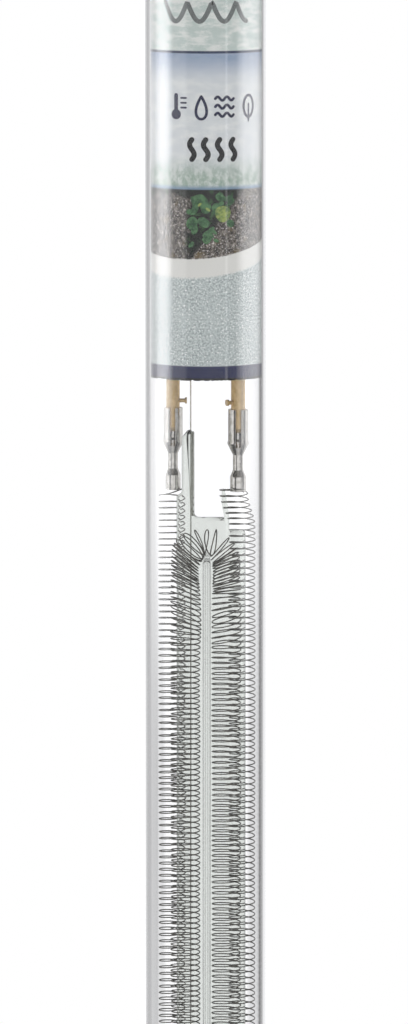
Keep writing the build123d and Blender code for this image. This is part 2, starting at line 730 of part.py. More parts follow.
PIECES = {
    "glass_tube": glass_tube,
    "label_sleeve": label_sleeve,
    "end_buffer": end_buffer,
    "former_spacer": former_spacer,
    "glass_former": glass_former,
    "heating_coil": heating_coil,
    "stay_rod": stay_rod,
    "terminal_disc": terminal_disc,
    "post_cross_pins": cross_pins,
    "post_nuts": post_nuts,
    "thermostat_chassis": thermostat_chassis,
    "chassis_screws": chassis_screws,
    "strip_rivets": strip_rivets,
    "bimetal_strip": bimetal_strip,
    "moving_contact": moving_contact,
    "armature": armature,
    "snap_magnet": snap_magnet,
    "contact_blade": contact_blade,
    "fixed_contact": fixed_contact,
    "setting_nut": setting_nut,
    "suppression_capacitor": suppression_capacitor,
    "lamp_resistor": lamp_resistor,
    "indicator_lamp": indicator_lamp,
    "supply_tags": supply_tags,
    "neutral_lead": neutral_lead,
    "live_lead": live_lead,
    "load_lead": load_lead,
    "collar_nut": collar_nut,
    "tube_seal": tube_seal,
    "head_housing": head_housing,
    "scale_ring": scale_ring,
    "cable_gland": cable_gland,
    "dial_knob": dial_knob,
    "dial_pointer": dial_pointer,
    "dial_spindle": dial_spindle,
    "spindle_clip": spindle_clip,
    "spindle_o_ring": spindle_o_ring,
    "seal_washer": seal_washer,
}

os.makedirs("parts", exist_ok=True)
for node, make in PIECES.items():
    write(node, make())
for side in POSTS:
    write(f"terminal_post_{side}", terminal_post(side))
    write(f"crimp_contact_{side}", crimp_contact(side))
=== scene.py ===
import json
import math
import random

import bmesh
import bpy
from mathutils import Matrix, Vector, noise

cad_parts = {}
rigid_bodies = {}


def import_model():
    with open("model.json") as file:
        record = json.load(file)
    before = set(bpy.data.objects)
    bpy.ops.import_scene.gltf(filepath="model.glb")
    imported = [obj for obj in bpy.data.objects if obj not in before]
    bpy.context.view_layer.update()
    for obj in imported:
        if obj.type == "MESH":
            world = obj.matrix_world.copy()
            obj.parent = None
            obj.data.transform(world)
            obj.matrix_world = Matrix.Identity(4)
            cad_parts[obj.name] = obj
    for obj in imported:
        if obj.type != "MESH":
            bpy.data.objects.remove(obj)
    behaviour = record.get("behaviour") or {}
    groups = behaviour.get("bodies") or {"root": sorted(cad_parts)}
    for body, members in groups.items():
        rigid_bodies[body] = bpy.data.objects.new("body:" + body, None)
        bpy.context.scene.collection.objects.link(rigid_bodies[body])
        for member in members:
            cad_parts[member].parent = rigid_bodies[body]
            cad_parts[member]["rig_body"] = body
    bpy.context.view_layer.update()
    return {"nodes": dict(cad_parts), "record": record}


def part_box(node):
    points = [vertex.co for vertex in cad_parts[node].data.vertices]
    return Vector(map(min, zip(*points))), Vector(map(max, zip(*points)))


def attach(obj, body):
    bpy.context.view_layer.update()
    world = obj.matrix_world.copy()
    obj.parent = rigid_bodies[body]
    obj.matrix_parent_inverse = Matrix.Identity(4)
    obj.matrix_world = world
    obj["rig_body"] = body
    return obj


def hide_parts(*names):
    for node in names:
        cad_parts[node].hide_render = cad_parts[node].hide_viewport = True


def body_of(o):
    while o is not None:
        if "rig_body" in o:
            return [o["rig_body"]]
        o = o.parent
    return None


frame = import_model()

MM = 0.001
BODY = "housing"

# ---- places read from the frame -----------------------------------------------------------
tube_low, tube_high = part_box("glass_tube")
TUBE_R = tube_high.x
TUBE_WALL = 1.5 * MM
GROUND_AWAY = 0.25 * MM
GROUND_R = TUBE_R - GROUND_AWAY
DOME_Z = tube_low.z + TUBE_R
COLLAR_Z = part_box("collar_nut")[0].z
BORE_R = TUBE_R - TUBE_WALL

label_low, label_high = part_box("label_sleeve")
LABEL_R = label_high.x
LABEL_BOTTOM = label_low.z
LABEL_TOP = label_high.z

SLOTS = {part["node"]: part["material_slot"] for part in frame["record"]["subparts"]}


# ---- node helpers -------------------------------------------------------------------------
class Graph:
    """Adds nodes to one node tree; every input takes a plain value or another node's socket."""

    def __init__(self, tree):
        self.tree = tree

    def put(self, socket, value):
        if isinstance(value, bpy.types.NodeSocket):
            self.tree.links.new(value, socket)
        elif isinstance(value, (tuple, list)) and socket.type == "RGBA" and len(value) == 3:
            socket.default_value = (*value, 1.0)
        else:
            socket.default_value = value

    def add(self, kind, **settings):
        node = self.tree.nodes.new(kind)
        for key, value in settings.items():
            setattr(node, key, value)
        return node

    def math(self, operation, first, second=0.0, third=0.0):
        node = self.add("ShaderNodeMath", operation=operation)
        self.put(node.inputs[0], first)
        self.put(node.inputs[1], second)
        self.put(node.inputs[2], third)
        return node.outputs[0]

    def mix(self, factor, first, second):
        node = self.add("ShaderNodeMix", data_type="RGBA")
        self.put(node.inputs["Factor"], factor)
        self.put(node.inputs[6], first)
        self.put(node.inputs[7], second)
        return node.outputs[2]

    def step(self, value, low, high):
        """0 below low, 1 above high, smooth between."""
        node = self.add("ShaderNodeMapRange", interpolation_type="SMOOTHSTEP")
        self.put(node.inputs["Value"], value)
        self.put(node.inputs["From Min"], low)
        self.put(node.inputs["From Max"], high)
        return node.outputs[0]

    def band(self, value, low, high, soft):
        """1 between low and high, with soft edges."""
        rise = self.step(value, low - soft, low + soft)
        fall = self.step(value, high - soft, high + soft)
        return self.math("SUBTRACT", rise, fall)

    def ramp(self, value, stops):
        """Colour by value; each stop is (value, colour)."""
        node = self.add("ShaderNodeValToRGB")
        elements = node.color_ramp.elements
        while len(elements) < len(stops):
            elements.new(0.5)
        for element, (position, colour) in zip(elements, stops):
            element.position = position
            element.color = (*colour, 1.0)
        self.put(node.inputs[0], value)
        return node.outputs[0]

    def noise(self, vector, scale, detail=2.0, roughness=0.5):
        node = self.add("ShaderNodeTexNoise")
        self.put(node.inputs["Vector"], vector)
        self.put(node.inputs["Scale"], scale)
        self.put(node.inputs["Detail"], detail)
        self.put(node.inputs["Roughness"], roughness)
        return node.outputs[0]

    def join(self, x, y, z):
        node = self.add("ShaderNodeCombineXYZ")
        for socket, value in zip(node.inputs, (x, y, z)):
            self.put(socket, value)
        return node.outputs[0]

    def split(self, vector):
        node = self.add("ShaderNodeSeparateXYZ")
        self.put(node.inputs[0], vector)
        return node.outputs

    def scaled(self, vector, scale):
        node = self.add("ShaderNodeMapping")
        self.put(node.inputs["Vector"], vector)
        node.inputs["Scale"].default_value = scale
        return node.outputs[0]

    def place(self):
        """The point on the object in millimetres."""
        coordinates = self.add("ShaderNodeTexCoord").outputs["Object"]
        return self.scaled(coordinates, (1 / MM, 1 / MM, 1 / MM))


class Finish(Graph):
    """A material with one Principled shader."""

    def __init__(self, name, **constants):
        self.material = bpy.data.materials.new(name)
        self.material.use_nodes = True
        super().__init__(self.material.node_tree)
        self.shader = next(n for n in self.tree.nodes if n.type == "BSDF_PRINCIPLED")
        for key, value in constants.items():
            self.put(self.shader.inputs[key.replace("_", " ")], value)

    def drive(self, socket, value):
        self.put(self.shader.inputs[socket], value)

    def bump(self, height, distance):
        node = self.add("ShaderNodeBump")
        node.inputs["Distance"].default_value = distance * MM
        self.put(node.inputs["Height"], height)
        self.drive("Normal", node.outputs[0])


EVEN = (1.0, 1.0, 1.0)
GLASS_IOR = 1.47


def plain_finish(name, light, dark, scale, rough, bump=0.0, grain=6.0, stretch=EVEN, **constants):
    """Moulded, rolled or drawn stock: mottled colour, uneven gloss and a fine surface grain.

    Scales are features per millimetre, the bump's height is in millimetres, and rough is the
    lowest and highest roughness."""
    finish = Finish(name, **constants)
    place = finish.scaled(finish.place(), stretch)
    mottle = finish.noise(place, scale, 4.0, 0.6)
    spread = finish.step(mottle, 0.3, 0.7)
    finish.drive("Base Color", finish.mix(spread, dark, light))
    gloss = finish.math("MULTIPLY_ADD", mottle, rough[1] - rough[0], rough[0])
    finish.drive("Roughness", gloss)
    if bump:
        finish.bump(finish.noise(place, grain, 3.0, 0.6), bump)
    return finish.material


def clear_finish(name, tint, shade):
    """Glass: nearly even tint, faint draw lines along the tube."""
    finish = Finish(name, Transmission_Weight=1.0, IOR=GLASS_IOR, Roughness=0.0)
    along_tube = (1.0, 1.0, 0.04)
    streaks = finish.noise(finish.scaled(finish.place(), along_tube), 0.5, 2.0, 0.5)
    finish.drive("Base Color", finish.mix(streaks, shade, tint))
    return finish.material


# ---- mesh helpers -------------------------------------------------------------------------
ON_AXIS = 1e-7
MERGE = 0.002 * MM
FLAT_ENOUGH = math.radians(0.5)
SHALLOW = math.radians(30.0)
WIDE_FACE = 0.45 * MM
SQUARE = 0.99999


def dress(piece, material, body=BODY, sharp=40.0, replaces=()):
    """Material, shading and body of a finished piece."""
    piece.data.materials.clear()
    piece.data.materials.append(material)
    if piece.type == "MESH":
        if not piece.name.endswith("_refined"):
            piece.data.shade_smooth()
        piece.data.set_sharp_from_angle(angle=math.radians(sharp))
    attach(piece, body)
    if replaces:
        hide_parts(*replaces)


def new_piece(name, points, faces):
    """Object in the scene from points and faces."""
    mesh = bpy.data.meshes.new(name)
    mesh.from_pydata([tuple(point) for point in points], [], faces)
    mesh.validate()
    piece = bpy.data.objects.new(name, mesh)
    bpy.context.scene.collection.objects.link(piece)
    return piece


def grid_faces(rows, columns, offset=0, wrap=True):
    """Quads of a grid of points; a wrapped grid closes on itself sideways."""
    faces = []
    for row in range(rows - 1):
        for column in range(columns if wrap else columns - 1):
            right = (column + 1) % columns
            here = offset + row * columns
            above = here + columns
            faces.append((here + column, here + right, above + right, above + column))
    return faces


def arc_points(centre, radius, start, end, count):
    """Points (radius, height) round an arc, in degrees from straight outwards."""
    points = []
    for index in range(count + 1):
        turn = math.radians(start + (end - start) * index / count)
        points.append((centre[0] + radius * math.cos(turn), centre[1] + radius * math.sin(turn)))
    return points


def lathe(name, outline, segments):
    """Closed solid of revolution; an outline point on the axis becomes one shared point."""
    points, faces, rings = [], [], []
    for radius, height in outline:
        if radius < ON_AXIS:
            rings.append([len(points)] * segments)
            points.append((0.0, 0.0, height))
            continue
        rings.append(list(range(len(points), len(points) + segments)))
        for index in range(segments):
            turn = 2 * math.pi * index / segments
            points.append((radius * math.cos(turn), radius * math.sin(turn), height))
    closed = outline[0][0] > ON_AXIS
    pairs = list(zip(rings, rings[1:])) + ([(rings[-1], rings[0])] if closed else [])
    for lower, upper in pairs:
        for index in range(segments):
            after = (index + 1) % segments
            corners = [lower[index], lower[after], upper[after], upper[index]]
            unique = list(dict.fromkeys(corners))
            if len(unique) > 2:
                faces.append(unique)
    return new_piece(name, points, faces)


def keep_flats(work, boxy):
    """Smooth shading, except on wide flat faces that touch no other wide face at a small angle.

    A boxy shape also keeps every face that is square to an axis flat."""
    def width(face):
        corners = [vert.co for vert in face.verts]
        spread = [max(c[i] for c in corners) - min(c[i] for c in corners) for i in range(3)]
        return face.calc_area() / max(max(spread), 1e-9)

    def shallow(edge):
        return len(edge.link_faces) == 2 and edge.calc_face_angle() < SHALLOW

    wide = {face for face in work.faces if width(face) > WIDE_FACE}
    for face in work.faces:
        face.smooth = True
        if face in wide:
            beside = [edge for edge in face.edges if shallow(edge)]
            neighbours = {other for edge in beside for other in edge.link_faces} - {face}
            face.smooth = bool(neighbours & wide)
        if boxy and max(abs(part) for part in face.normal) > SQUARE:
            face.smooth = False


def refined(node, width, segments=3, angle=30.0, boxy=False):
    """Copy of a CAD node's shape whose edges sharper than the angle are rounded to the width."""
    source = frame["nodes"][node].data
    work = bmesh.new()
    work.from_mesh(source)
    bmesh.ops.remove_doubles(work, verts=work.verts, dist=MERGE)
    bmesh.ops.dissolve_limit(work, angle_limit=FLAT_ENOUGH, verts=work.verts, edges=work.edges)
    if width:
        bend = math.radians(angle)
        whole = [edge for edge in work.edges if edge.is_manifold]
        sharp = [edge for edge in whole if edge.calc_face_angle(0.0) > bend]
        bmesh.ops.bevel(
            work, geom=sharp, offset=width, offset_type="OFFSET", segments=segments, profile=0.5,
            affect="EDGES", clamp_overlap=True,
        )
    keep_flats(work, boxy)
    mesh = bpy.data.meshes.new(node + "_refined")
    work.to_mesh(mesh)
    work.free()
    piece = bpy.data.objects.new(node + "_refined", mesh)
    bpy.context.scene.collection.objects.link(piece)
    return piece


# ---- camera, floor and light --------------------------------------------------------------
CAMERA_DISTANCE = 1.468
CAMERA_PITCH = math.radians(6.85)
AIM = Vector((-0.43 * MM, 0.0, 20.65 * MM))
VIEW_ANGLE = math.radians(7.5)
SENSOR_WIDTH = 36.0
FAR_CLIP = 50.0
FLOOR_R = 420 * MM
FLOOR_THICK = 4 * MM
FLOOR_GAP = 0.3 * MM


def add_camera():
    """Long-lens camera, looking slightly down at the middle of the tube."""
    data = bpy.data.cameras.new("camera")
    data.sensor_width = SENSOR_WIDTH
    data.lens = SENSOR_WIDTH / 2 / math.tan(VIEW_ANGLE / 2)
    data.clip_end = FAR_CLIP
    camera = bpy.data.objects.new("camera", data)
    bpy.context.scene.collection.objects.link(camera)
    back = Vector((0.0, -math.cos(CAMERA_PITCH), math.sin(CAMERA_PITCH)))
    camera.location = AIM + CAMERA_DISTANCE * back
    camera.rotation_euler = (math.pi / 2 - CAMERA_PITCH, 0.0, 0.0)
    bpy.context.scene.camera = camera


def add_floor():
    """Round pale table top just under the closed end, left out of what the glass and metal show."""
    top = tube_low.z - FLOOR_GAP
    bottom = top - FLOOR_THICK
    floor = lathe("floor", [(0.0, bottom), (FLOOR_R, bottom), (FLOOR_R, top), (0.0, top)], 128)
    pale = plain_finish("floor_pale", (0.93, 0.93, 0.93), (0.90, 0.90, 0.91), 0.02, (0.7, 0.8))
    floor.data.materials.append(pale)
    floor.visible_glossy = False
    floor.visible_transmission = False


def grey(level):
    """A very slightly cool grey."""
    return (level, level, level * 1.015)


BRIGHTEST = 10.0
SIDE_BLEND = 5.0
LOW_FROM, LOW_TO = -0.105, -0.153
STEEP_FROM, STEEP_TO = -0.45, -0.60
SOFT_LEVEL, SOFT_RISE = 1.36, 0.25
# Most glass surfaces that a ray passes when it comes off the tube's outside, off the inside of
# its wall, or through the tube without the former.
OUTSIDE_ONLY, WALL_ONLY, TUBE_ONLY = 0, 2, 5
# Light by the angle away from straight behind the object: (degrees, level). High and low are
# above and below LOW_FROM. BEHIND is seen through the empty tube, WALL is mirrored inside its
# wall, GRAZED and the BOXES by its outside, METAL by the parts in it, and THROUGH_FORMER is
# seen or mirrored after the former's glass.
BEHIND_LEFT_HIGH = (
    (6.5, 1.10), (8.0, 1.00), (12.0, 0.94), (18.0, 0.86), (25.0, 0.78), (31.0, 0.60),
    (45.0, 0.55), (65.0, 1.10),
)
BEHIND_LEFT_LOW = (
    (6.5, 1.10), (8.0, 0.80), (11.0, 0.80), (12.5, 0.52), (20.0, 0.60), (25.0, 0.72),
    (31.0, 0.50), (45.0, 0.50), (65.0, 1.10),
)
BEHIND_RIGHT = (
    (6.5, 1.10), (8.0, 0.80), (15.0, 0.74), (18.0, 0.62), (20.5, 0.10), (31.0, 0.06),
    (45.0, 0.30), (65.0, 1.10),
)
WALL_LEFT = (
    (8.0, 1.05), (16.0, 0.95), (21.0, 0.72), (26.5, 0.40), (34.0, 0.38), (41.0, 0.45),
    (55.0, 0.55), (65.0, 1.00),
)
WALL_RIGHT = (
    (12.0, 1.15), (19.0, 1.08), (25.0, 0.97), (30.0, 0.86), (40.0, 0.78), (43.0, 0.46),
    (47.0, 0.30), (54.0, 0.30), (65.0, 1.10),
)
GRAZED = (
    (20.0, 2.20), (33.0, 1.40), (50.0, 1.00), (58.0, 0.90), (74.0, 0.10),
)
THROUGH_FORMER = (
    (6.5, 1.02), (20.0, 0.82), (45.0, 0.62), (75.0, 0.42), (100.0, 0.90), (150.0, 0.50),
)
METAL_LEFT = (
    (50.0, 0.45), (70.0, 0.72), (100.0, 0.75), (106.0, 1.05), (124.0, 1.05), (130.0, 0.08),
    (146.0, 0.08), (154.0, 0.85),
)
METAL_RIGHT = (
    (20.0, 0.60), (50.0, 0.85), (90.0, 0.80), (97.0, 0.06), (113.0, 0.06), (120.0, 0.45),
    (142.0, 0.45), (152.0, 0.85),
)
METAL_STEEP = (
    (40.0, 0.60), (75.0, 0.35), (90.0, 0.05), (132.0, 0.07), (150.0, 0.62),
)
LEFT_BOXES = (
    (50.0, 0.0), (55.0, 0.9), (60.0, 2.8), (66.0, 2.8), (72.0, 2.2), (77.0, 3.6),
    (84.0, 7.0), (92.0, 10.0), (104.0, 10.0), (118.0, 1.3), (140.0, 1.3), (147.0, 0.0),
)
RIGHT_BOXES = (
    (64.0, 0.0), (76.0, 3.5), (88.0, 5.5), (108.0, 5.5), (126.0, 0.0), (140.0, 0.0),
    (143.5, 2.5), (147.0, 0.0),
)


def add_world():
    """Soft studio: white backdrop, grey cards beside it, tall soft boxes left and right."""
    world = bpy.data.worlds.new("studio")
    bpy.context.scene.world = world
    world.use_nodes = True
    tree = world.node_tree
    tree.nodes.clear()
    g = Graph(tree)
    x, y, z = g.split(g.add("ShaderNodeTexCoord").outputs["Generated"])[:3]
    from_back = g.math("MULTIPLY", g.math("ARCTAN2", x, y), 180 / math.pi)
    away = g.math("ABSOLUTE", from_back)
    share = g.math("MULTIPLY", away, 1 / 180)
    left = g.step(from_back, SIDE_BLEND, -SIDE_BLEND)
    low = g.step(z, LOW_FROM, LOW_TO)
    path = g.add("ShaderNodeLightPath")

    def more_than(depth, count):
        return g.math("GREATER_THAN", path.outputs[depth], count + 0.5)

    def light(*stops):
        ramp = g.ramp(share, [(angle / 180, grey(level / BRIGHTEST)) for angle, level in stops])
        bright = g.add("ShaderNodeVectorMath", operation="SCALE")
        g.put(bright.inputs[0], ramp)
        g.put(bright.inputs["Scale"], BRIGHTEST)
        return bright.outputs[0]

    behind_left = g.mix(low, light(*BEHIND_LEFT_HIGH), light(*BEHIND_LEFT_LOW))
    behind = g.mix(left, light(*BEHIND_RIGHT), behind_left)
    wall = g.mix(left, light(*WALL_RIGHT), light(*WALL_LEFT))
    metal = g.mix(left, light(*METAL_RIGHT), light(*METAL_LEFT))
    metal = g.mix(g.step(z, STEEP_FROM, STEEP_TO), metal, light(*METAL_STEEP))
    boxes = g.mix(low, g.mix(left, light(*RIGHT_BOXES), light(*LEFT_BOXES)), (0.0, 0.0, 0.0))

    lit = g.add("ShaderNodeVectorMath", operation="ADD")
    g.put(lit.inputs[0], light(*GRAZED))
    g.put(lit.inputs[1], boxes)
    mirror = g.mix(more_than("Transmission Depth", OUTSIDE_ONLY), lit.outputs[0], wall)
    mirror = g.mix(more_than("Transmission Depth", WALL_ONLY), mirror, metal)
    soft = g.math("MULTIPLY_ADD", z, SOFT_RISE, SOFT_LEVEL)
    seen = g.mix(more_than("Glossy Depth", 0), behind, mirror)
    seen = g.mix(more_than("Transmission Depth", TUBE_ONLY), seen, light(*THROUGH_FORMER))
    seen = g.mix(more_than("Diffuse Depth", 0), seen, g.join(soft, soft, soft))
    seen = g.mix(path.outputs["Is Camera Ray"], seen, (1.0, 1.0, 1.0))
    background = g.add("ShaderNodeBackground")
    g.put(background.inputs["Color"], seen)
    output = g.add("ShaderNodeOutputWorld")
    g.put(output.inputs["Surface"], background.outputs[0])


def set_colour_and_paths():
    """Plain colours, and enough bounces for glass inside glass."""
    scene = bpy.context.scene
    scene.view_settings.view_transform = "Standard"
    scene.view_settings.look = "None"
    scene.cycles.max_bounces = 40
    scene.cycles.transmission_bounces = 32
    scene.cycles.glossy_bounces = 16
    scene.cycles.diffuse_bounces = 4
    scene.cycles.transparent_max_bounces = 16
    scene.cycles.use_denoising = True
    scene.cycles.seed = 7


# ---- glass tube ---------------------------------------------------------------------------
MARGIN = 0.5 * MM
GROUND_STEP = 0.1 * MM
DOME_STEPS = 24
LIP_STEPS = 8


def glass_tube():
    """Tube with a round closed end, a round lip and a ground neck inside the collar.

    A ring a margin away from each end of a long wall keeps that wall's shading straight."""
    lip = TUBE_WALL / 2
    lip_z = tube_high.z - lip
    outline = arc_points((0.0, DOME_Z), TUBE_R, -90.0, 0.0, DOME_STEPS)
    outline += [(TUBE_R, DOME_Z + MARGIN), (TUBE_R, COLLAR_Z - MARGIN), (TUBE_R, COLLAR_Z)]
    outline += [(GROUND_R, COLLAR_Z + GROUND_STEP), (GROUND_R, lip_z)]
    outline += arc_points((BORE_R + lip, lip_z), lip, 0.0, 180.0, LIP_STEPS)[2:-1]
    outline += [(BORE_R, lip_z), (BORE_R, lip_z - MARGIN), (BORE_R, DOME_Z + MARGIN)]
    outline += arc_points((0.0, DOME_Z), BORE_R, 0.0, -90.0, DOME_STEPS)
    outline = [(r if r > ON_AXIS else 0.0, z) for r, z in outline]
    piece = lathe("tube_glass", outline, 256)
    material = clear_finish("clear_glass", (1.0, 1.0, 1.0), (0.992, 0.994, 0.993))
    dress(piece, material, sharp=25.0, replaces=["glass_tube"])
    return material


# ---- printed sleeve -----------------------------------------------------------------------
def label_at(arc, height, radius):
    """Point on the sleeve from the arc length to the right of its front and the height."""
    turn = arc / LABEL_R
    return (radius * math.sin(turn), -radius * math.cos(turn), height)


WATERLINE_Z = LABEL_BOTTOM + 61.2 * MM
SCAPE_TOP = LABEL_BOTTOM + 35.6 * MM
SAND_Z = LABEL_BOTTOM + 22.9 * MM
SAND_DEPTH = 3.6 * MM
BAND_TOP = LABEL_BOTTOM + 2.7 * MM
RIM_TOP = LABEL_BOTTOM + 0.5 * MM
SHEET_THICK = 0.09 * MM
SHEET_LAP = math.radians(10.0)
LAP_SLIP = 0.11 * MM
FRAY = 0.25 * MM
SHEET_COLUMNS = 320
SHEET_ROWS = 9
PRINT_ROUGHNESS = 0.42
PRINT_SPECULAR = 0.35


def print_finish():
    """Print of a planted tank: water, dark planting with rocks, a sand edge and a navy band."""
    f = Finish("printed_label", Roughness=PRINT_ROUGHNESS, Specular_IOR_Level=PRINT_SPECULAR)
    place = f.place()
    x, y, z = f.split(place)[:3]
    arc = f.math("MULTIPLY", f.math("ARCTAN2", x, f.math("MULTIPLY", y, -1.0)), LABEL_R / MM)
    flat = f.join(arc, z, 0.0)
    fine = f.noise(flat, 3.2, 3.0, 0.7)
    watery = f.noise(f.scaled(flat, (0.35, 0.8, 1.0)), 0.9, 5.0, 0.65)

    water = f.mix(f.step(watery, 0.42, 0.62), (0.52, 0.60, 0.575), (0.74, 0.765, 0.745))
    pale = f.mix(f.step(watery, 0.4, 0.65), (0.66, 0.69, 0.715), (0.76, 0.78, 0.785))
    line_z = WATERLINE_Z / MM
    depth = f.step(z, line_z - 6.5, line_z)
    sky = f.mix(f.math("MULTIPLY", depth, f.math("ADD", watery, 0.45)), pale, (0.27, 0.35, 0.50))
    colour = f.mix(f.step(z, line_z - 0.1, line_z + 0.1), sky, water)
    colour = f.mix(f.band(z, line_z - 0.23, line_z + 0.23, 0.08), colour, (0.02, 0.035, 0.09))

    scape_z = SCAPE_TOP / MM
    weed = f.noise(f.scaled(flat, (1.0, 0.6, 1.0)), 0.9, 5.0, 0.7)
    murk = f.mix(f.step(weed, 0.4, 0.62), (0.32, 0.42, 0.36), (0.60, 0.65, 0.62))
    colour = f.mix(f.step(z, scape_z + 7.0, scape_z + 2.0), colour, murk)
    colour = f.mix(f.step(z, scape_z + 1.1, scape_z + 0.2), colour, (0.20, 0.30, 0.42))

    sand_edge = f.math("MULTIPLY_ADD", f.math("MULTIPLY", arc, arc), 0.012, SAND_Z / MM)
    sand_edge = f.math("MULTIPLY_ADD", arc, 0.095, sand_edge)
    ragged = f.math("MULTIPLY_ADD", fine, 0.9, f.math("SUBTRACT", z, 0.45))
    scape = f.step(z, scape_z + 0.25, scape_z - 0.05)
    colour = f.mix(scape, colour, scape_colour(f, flat, arc, z))
    below = f.math("SUBTRACT", ragged, sand_edge)
    sand = f.mix(fine, (0.70, 0.70, 0.68), (0.80, 0.79, 0.76))
    colour = f.mix(f.step(below, 0.12, -0.12), colour, sand)

    grain = f.noise(flat, 2.7, 1.0, 0.7)
    drift = f.noise(flat, 0.16, 3.0, 0.6)
    gravel = f.mix(f.step(grain, 0.34, 0.62), (0.30, 0.35, 0.36), (0.60, 0.655, 0.65))
    gravel = f.mix(f.step(drift, 0.4, 0.9), gravel, (0.545, 0.60, 0.60))
    sparkle = f.step(f.noise(flat, 3.1, 0.0), 0.66, 0.74)
    gravel = f.mix(sparkle, gravel, (0.92, 0.93, 0.92))
    lower = f.math("SUBTRACT", sand_edge, SAND_DEPTH / MM)
    melt = f.math("MULTIPLY_ADD", fine, 1.6, f.math("SUBTRACT", z, 0.8))
    colour = f.mix(f.step(f.math("SUBTRACT", melt, lower), 0.25, -0.25), colour, gravel)

    band = f.step(z, BAND_TOP / MM + 0.12, BAND_TOP / MM - 0.08)
    colour = f.mix(band, colour, (0.013, 0.018, 0.085))
    rim = f.step(z, RIM_TOP / MM + 0.08, RIM_TOP / MM - 0.08)
    colour = f.mix(rim, colour, (0.008, 0.010, 0.012))
    f.drive("Base Color", colour)
    f.bump(fine, 0.004)
    return f.material


def scape_colour(f, flat, arc, z):
    """Dark planting with a rock mass on each side and gravelly flecks on the rocks."""
    bottom = SAND_Z / MM
    warp = f.math("MULTIPLY_ADD", f.noise(flat, 0.55, 4.0, 0.6), 5.0, -2.5)
    weed = f.noise(f.scaled(flat, (1.0, 0.8, 1.0)), 0.7, 4.0, 0.6)
    green = f.mix(f.step(weed, 0.52, 0.70), (0.006, 0.009, 0.006), (0.035, 0.100, 0.032))
    height = f.math("SUBTRACT", z, bottom)
    left_side = f.math("MULTIPLY_ADD", height, 0.10, -4.0)
    left_rock = f.step(f.math("SUBTRACT", f.math("ADD", arc, warp), left_side), 0.9, -0.9)
    left_rock = f.math("MULTIPLY", left_rock, f.step(f.math("ADD", height, warp), 12.2, 10.6))
    slope = f.math("MULTIPLY_ADD", height, 0.78, -2.8)
    right_side = f.math("MULTIPLY_ADD", warp, 0.6, arc)
    right_rock = f.step(f.math("SUBTRACT", right_side, slope), -0.6, 0.6)
    chunks = f.noise(f.scaled(flat, (1.0, 0.7, 1.0)), 1.3, 5.0, 0.72)
    stone = f.ramp(chunks, [
        (0.34, (0.010, 0.008, 0.007)),
        (0.47, (0.050, 0.041, 0.034)),
        (0.57, (0.17, 0.145, 0.12)),
        (0.66, (0.44, 0.40, 0.37)),
    ])
    warm = f.step(f.noise(flat, 0.45, 2.0), 0.58, 0.72)
    stone = f.mix(f.math("MULTIPLY", warm, 0.6), stone, (0.16, 0.11, 0.035))
    flecks = f.step(f.noise(flat, 2.9, 4.0, 0.75), 0.56, 0.63)
    stone = f.mix(flecks, stone, (0.82, 0.76, 0.74))
    rocks = f.math("MAXIMUM", left_rock, right_rock)
    return f.mix(rocks, green, stone)


def label_sleeve(material):
    """Rolled sheet with a lapped seam at the back and a slightly frayed lower edge."""
    rng = random.Random(11)
    nicks = [rng.random() ** 6 * FRAY for _ in range(SHEET_COLUMNS)]
    outer, inner = [], []
    for row in range(SHEET_ROWS):
        height = LABEL_BOTTOM + (LABEL_TOP - LABEL_BOTTOM) * row / (SHEET_ROWS - 1)
        for column, nick in enumerate(nicks):
            around = column / (SHEET_COLUMNS - 1)
            turn = -math.pi - SHEET_LAP / 2 + (2 * math.pi + SHEET_LAP) * around
            slip = LAP_SLIP * max(0.0, (turn - (math.pi - SHEET_LAP)) / SHEET_LAP)
            rise = 0.0 if row else nick
            for depth, shell in ((0.0, outer), (SHEET_THICK, inner)):
                radius = LABEL_R - slip - depth
                shell.append((radius * math.sin(turn), -radius * math.cos(turn), height + rise))
    faces = grid_faces(SHEET_ROWS, SHEET_COLUMNS, wrap=False)
    back = grid_faces(SHEET_ROWS, SHEET_COLUMNS, len(outer), wrap=False)
    faces += [tuple(reversed(face)) for face in back]
    piece = new_piece("label_sheet", outer + inner, faces)
    dress(piece, material, replaces=["label_sleeve"])


